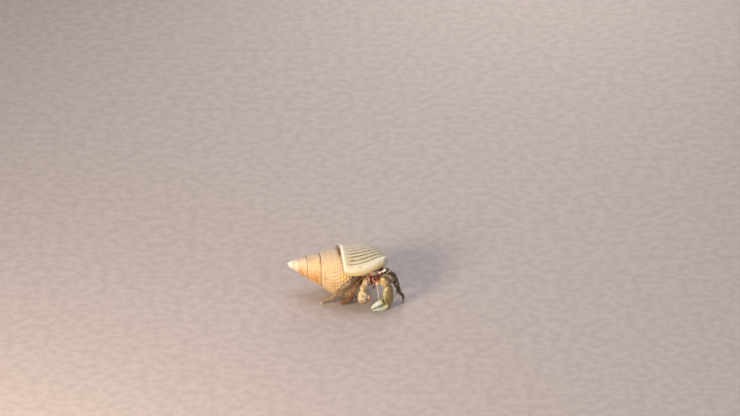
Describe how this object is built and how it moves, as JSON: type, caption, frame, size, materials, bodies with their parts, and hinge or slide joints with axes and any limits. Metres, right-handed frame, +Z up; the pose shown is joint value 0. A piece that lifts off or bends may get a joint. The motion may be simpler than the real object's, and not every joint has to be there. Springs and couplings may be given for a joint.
{
  "type": "hermit crab",
  "caption": "Small hermit crab walking in a ribbed sea-snail shell, with a big left claw, stalked eyes, feelers and jointed legs.",
  "frame": {"origin": "centre of the bounding box's footprint, on the floor that the shell, the legs and the left claw rest on", "axes": "+Z up; +X to the crab's left, away from the tip of the shell's spire; -Y the way the claws and the opening face"},
  "size_m": [0.0304, 0.0194, 0.0147],
  "materials": {
    "shell": "satin",
    "shield": "satin",
    "flesh": "satin",
    "abdomen": "satin",
    "cornea": "polished",
    "stalk": "satin",
    "leg": "satin",
    "claw": "gloss",
    "finger": "gloss",
    "mouth": "gloss"
  },
  "bodies": {
    "root": {"shell": "shell", "left_cornea": "cornea", "left_eyestalk": "stalk", "left_antennule": "stalk", "left_maxilliped": "mouth", "right_cornea": "cornea", "right_eyestalk": "stalk", "right_antennule": "stalk", "right_maxilliped": "mouth", "left_antenna_flagellum": "stalk", "left_antenna_peduncle": "leg", "right_antenna_flagellum": "stalk", "right_antenna_peduncle": "leg", "left_claw_finger": "finger", "left_claw_palm": "claw", "left_claw_carpus": "claw", "left_claw_merus": "claw", "left_claw_base": "claw", "right_claw_finger": "finger", "right_claw_palm": "claw", "right_claw_carpus": "claw", "right_claw_merus": "claw", "right_claw_base": "claw", "right_leg_2_dactylus": "leg", "right_leg_2_propodus": "leg", "right_leg_2_carpus": "leg", "right_leg_2_merus": "leg", "right_leg_2_base": "leg", "right_leg_3_dactylus": "leg", "right_leg_3_propodus": "leg", "right_leg_3_carpus": "leg", "right_leg_3_merus": "leg", "right_leg_3_base": "leg", "left_leg_2_dactylus": "leg", "left_leg_2_propodus": "leg", "left_leg_2_carpus": "leg", "left_leg_2_merus": "leg", "left_leg_2_base": "leg", "left_leg_3_dactylus": "leg", "left_leg_3_propodus": "leg", "left_leg_3_carpus": "leg", "left_leg_3_merus": "leg", "left_leg_3_base": "leg", "shield": "shield", "thorax": "flesh", "left_leg_4": "leg", "left_leg_5": "leg", "right_leg_4": "leg", "right_leg_5": "leg", "abdomen_front": "abdomen", "abdomen_rear": "abdomen", "tail_fan": "leg"}
  },
  "joints": []
}
